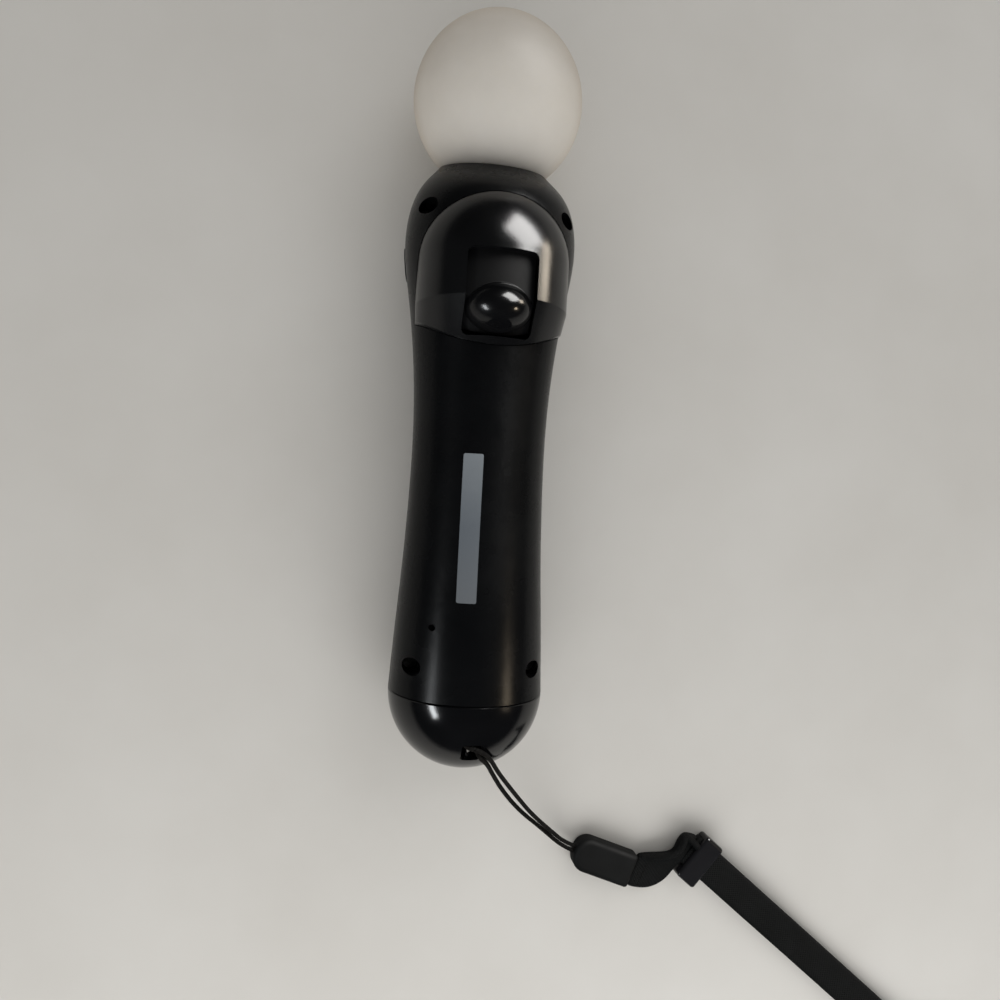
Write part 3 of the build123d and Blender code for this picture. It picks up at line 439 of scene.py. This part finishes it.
def tape_profile(width, thickness):
    """Places across a flat tape with rounded edges, as (across, through), once round."""
    half = width / 2
    edge = thickness / 2
    columns = [-half + edge + (width - thickness) * i / 8 for i in range(9)]
    top = [(x, edge) for x in columns]
    far = [(half - edge + edge * math.sin(a), edge * math.cos(a)) for a in edge_angles]
    low = [(x, -edge) for x in reversed(columns)]
    near = [(-half + edge - edge * math.sin(a), -edge * math.cos(a)) for a in edge_angles]
    return top + far + low + near


# The cord's two strands, from under the bar in the slot to the bores in the sleeve
upper_route = [
    (-0.0002, -0.08928, 0.0351),
    (-0.0014, -0.08912, 0.03523),
    (-0.0014, -0.09022, 0.03742),
    (0.0031, -0.09109, 0.03883),
    (0.0057, -0.094, 0.0358),
    (0.0087, -0.099, 0.031),
    (0.0142, -0.1066, 0.0229),
    (0.0219, -0.1166, 0.0139),
    (0.0304, -0.1252, 0.0065),
    (0.03539, -0.12987, 0.003),
    (0.04121, -0.13199, 0.003),
]
lower_route = [
    (-0.0002, -0.08928, 0.0351),
    (0.001, -0.08943, 0.03498),
    (0.0023, -0.09264, 0.03805),
    (0.005, -0.0954, 0.0345),
    (0.0075, -0.1, 0.0292),
    (0.012, -0.1074, 0.0216),
    (0.0186, -0.1158, 0.014),
    (0.0274, -0.1242, 0.0066),
    (0.03487, -0.13128, 0.003),
    (0.0407, -0.1334, 0.003),
]
cord_diameter = 1.2 * MM
for name, route, length, place in (
    ("strap_cord_upper", upper_route, 0.075, "upper"),
    ("strap_cord_lower", lower_route, 0.073, "lower"),
):
    strand = add("cord_strand_" + place, spline(name + "_line", route, cord_diameter / 2), "cord")
    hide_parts(name)

# The wrist loop: a flat tape in two layers with a bight at the far end
band_place = Vector((78.4, -135.0, 0)) * MM
band_turn = math.radians(-39.6)
band_along = Vector((math.cos(band_turn), math.sin(band_turn), 0))
band_across = Vector((-band_along.y, band_along.x, 0))
tape_width = 10.0 * MM
tape_thickness = 1.3 * MM
loop_table = (
    (-4.3, 2.0),
    (17.0, 2.0),
    (27.0, 2.0),
    (42.0, 0.75),
    (72.0, 0.95),
    (104.0, 0.7),
    (113.5, 1.0),
    (116.0, 5.2),
    (109.5, 7.6),
    (100.0, 4.0),
    (74.0, 2.8),
    (44.0, 2.5),
    (28.0, 3.6),
    (17.0, 3.6),
    (-4.3, 3.6),
)
loop_route = [band_place + band_along * (a * MM) + Vector((0, 0, z * MM)) for a, z in loop_table]
loop_line = read_line(loop_route)
profile = tape_profile(tape_width, tape_thickness)
rings = []
distances = [0.0]
for i, point in enumerate(loop_line):
    before = loop_line[max(i - 1, 0)]
    after = loop_line[min(i + 1, len(loop_line) - 1)]
    direction = (after - before).normalized()
    through = direction.cross(band_across).normalized()
    rings.append([point + band_across * w + through * t for w, t in profile])
    if i:
        distances.append(distances[-1] + (point - before).length)
loop_mesh = grid_mesh("wrist_loop_tape", rings, distances, [w for w, _ in profile])
loop = add("wrist_loop_tape", loop_mesh, "webbing")
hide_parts("wrist_loop")

# The stitched neck of webbing between the sleeve and the slider, rolled up along its upper side
neck_rows = (
    ((54.8, -142.9), (58.1, -133.7), 0.0),
    ((56.4, -143.4), (60.2, -133.4), 0.15),
    ((57.9, -143.8), (62.4, -133.2), 0.5),
    ((61.4, -144.2), (66.0, -133.1), 0.9),
    ((64.4, -143.4), (69.0, -132.7), 1.3),
    ((66.8, -142.0), (71.0, -130.8), 1.9),
    ((68.5, -140.4), (71.6, -127.9), 2.3),
    ((69.7, -138.8), (72.8, -126.7), 1.9),
    ((70.8, -137.4), (75.4, -127.5), 1.0),
    ((71.9, -136.1), (78.2, -128.4), 0.0),
)
neck_z = 2.8
neck_top = 1.45 * MM
neck_bottom = 1.35 * MM
neck_dip = 0.35 * MM
roll_start_share = 0.62
roll_radius = 0.95 * MM
neck_rings = []
neck_distances = [0.0]
columns = 16
for i, (low_place, high_place, lift) in enumerate(neck_rows):
    low = Vector((*low_place, neck_z)) * MM
    high = Vector((*high_place, neck_z)) * MM
    if i:
        stride = ((low - last_low).length + (high - last_high).length) / 2
        neck_distances.append(neck_distances[-1] + stride)
    last_low, last_high = low, high
    top = []
    bottom = []
    for j in range(columns + 1):
        share = j / columns
        place = low.lerp(high, share)
        roll_up = lift * MM * max(0.0, (share - roll_start_share) / (1 - roll_start_share)) ** 1.5
        dip = -neck_dip * math.sin(math.pi * min(1.0, share / 0.8)) * min(1.0, lift)
        edge = min(1.0, 6.0 * min(share, 1 - share) + 0.45)
        top.append(place + Vector((0, 0, roll_up + dip + neck_top * edge)))
        bottom.append(place + Vector((0, 0, roll_up * 0.6 - neck_bottom * edge)))
    neck_rings.append(top + bottom[::-1])
neck_widths = [j / columns * tape_width for j in range(columns + 1)]
neck = add(
    "strap_neck",
    grid_mesh("strap_neck", neck_rings, neck_distances, neck_widths + neck_widths[::-1]),
    "webbing",
)
smooth = neck.modifiers.new("smooth", "SUBSURF")
smooth.levels = 2
smooth.render_levels = 2
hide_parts("strap_webbing")
roll_route = [
    (59.6, -134.6, 3.5),
    (64.0, -134.1, 4.4),
    (68.4, -133.7, 5.2),
    (71.0, -131.6, 5.9),
    (72.1, -128.7, 6.2),
    (72.0, -127.2, 6.0),
    (73.3, -127.7, 5.8),
    (75.6, -129.6, 5.4),
    (77.6, -131.9, 4.6),
]
roll_edge = add(
    "strap_neck_roll",
    spline("strap_neck_roll", [Vector(place) * MM for place in roll_route], roll_radius),
    "webbing",
)

# Rows of stitches across the neck where it enters the sleeve and where the loop's ends are sewn in
stitch_rows = (((57.0, -142.6), (60.6, -134.6)), ((58.4, -142.9), (61.9, -134.8)))
stitch_faces = ((3, 2, 1, 0), (4, 5, 6, 7), (0, 1, 5, 4), (1, 2, 6, 5), (2, 3, 7, 6), (3, 0, 4, 7))
stitch_count = 9
stitch_z = 4.15
stitch_half_length = 0.36 * MM
stitch_width_share = 0.45
stitch_top_shares = (0.5, 0.4)
stitch_rise = Vector((0, 0, 0.16 * MM))
stitch_mesh = bpy.data.meshes.new("stitches")
vertices = []
faces = []
for row_low, row_high in stitch_rows:
    start = Vector((*row_low, stitch_z))
    end = Vector((*row_high, stitch_z))
    direction = (end - start).normalized() * stitch_half_length
    side = Vector((-direction.y, direction.x, 0)) * stitch_width_share
    for j in range(stitch_count):
        centre = start.lerp(end, (j + 0.5) / stitch_count) * MM
        base = len(vertices)
        for (length, width), rise in (((1, 1), Vector()), (stitch_top_shares, stitch_rise)):
            for a, b in corner_signs:
                vertices.append(tuple(centre + direction * (a * length) + side * (b * width) + rise))
        faces += [tuple(base + corner for corner in face) for face in stitch_faces]
stitch_mesh.from_pydata(vertices, [], faces)
stitches = add("strap_stitches", stitch_mesh, "cord")


# The table, the light and the surroundings
def table_paint():
    """A pale, smooth, faintly speckled table top."""
    paint = Paint("table")
    paint.colour(
        paint.ramp(paint.noise(14, 4), ((0.2, (0.62, 0.605, 0.575)), (0.8, (0.69, 0.68, 0.655))))
    )
    paint.set(Specular_IOR_Level=0.01)
    paint.gloss(paint.span(paint.noise(40, 3), 0.5, 0.6, 0.3, 0.7))
    paint.bump(paint.noise(1200, 3), 0.15, 0.03 * MM)
    return paint


table_half = 3.0
table_z = -0.02 * MM
table_corners = [(x * table_half, y * table_half, table_z) for x, y in corner_signs]
table_mesh = bpy.data.meshes.new("table")
table_mesh.from_pydata(table_corners, [], [(0, 1, 2, 3)])
table_top = bpy.data.objects.new("table_top", table_mesh)
table_mesh.materials.append(table_paint().material)
bpy.context.scene.collection.objects.link(table_top)

world = bpy.data.worlds.new("room")
world.use_nodes = True
background = world.node_tree.nodes["Background"]
background.inputs["Color"].default_value = (1.0, 0.985, 0.96, 1)
background.inputs["Strength"].default_value = 0.43
world.cycles_visibility.glossy = False
bpy.context.scene.world = world


wand_middle = Vector((0, -10, 30)) * MM


def panel(name, direction, distance, size, energy, colour, only=""):
    """A soft rectangular light, by its direction from the wand in the picture's axes.

    Only "gloss" shows in glossy surfaces alone, and only "fill" lights matt surfaces alone."""
    data = bpy.data.lights.new(name, "AREA")
    data.shape = "RECTANGLE"
    data.size, data.size_y = size
    data.energy = energy
    data.color = colour
    obj = bpy.data.objects.new(name, data)
    bpy.context.scene.collection.objects.link(obj)
    x, y, z = direction
    aim = (right * x + up * y - ahead * z).normalized()
    obj.location = wand_middle + aim * distance
    obj.rotation_euler = aim.to_track_quat("Z", "Y").to_euler()
    obj.visible_diffuse = only != "gloss"
    obj.visible_glossy = only != "fill"


panel("soft_key", (0.5, 0.62, 0.55), 0.9, (0.6, 0.5), 1.0, (1.0, 0.98, 0.95), "fill")
panel("low_fill", (0.1, -0.87, 0.5), 0.42, (0.7, 0.3), 1.3, (1.0, 0.99, 0.97), "fill")
panel("key_window", (0.66, 0.58, 0.52), 1.2, (0.95, 0.75), 58.0, (1.0, 0.99, 0.97), "gloss")
panel("left_window", (-0.63, -0.38, 0.60), 0.6, (0.26, 0.07), 2.3, (0.95, 0.98, 1.0), "gloss")
panel("warm_lamp", (0.86, -0.36, 0.38), 0.7, (0.07, 0.07), 1.1, (1.0, 0.82, 0.6), "gloss")
panel("warm_side", (0.93, 0.33, 0.10), 0.5, (0.12, 0.12), 0.9, (1.0, 0.88, 0.72), "gloss")
bpy.context.scene.view_settings.view_transform = "Standard"
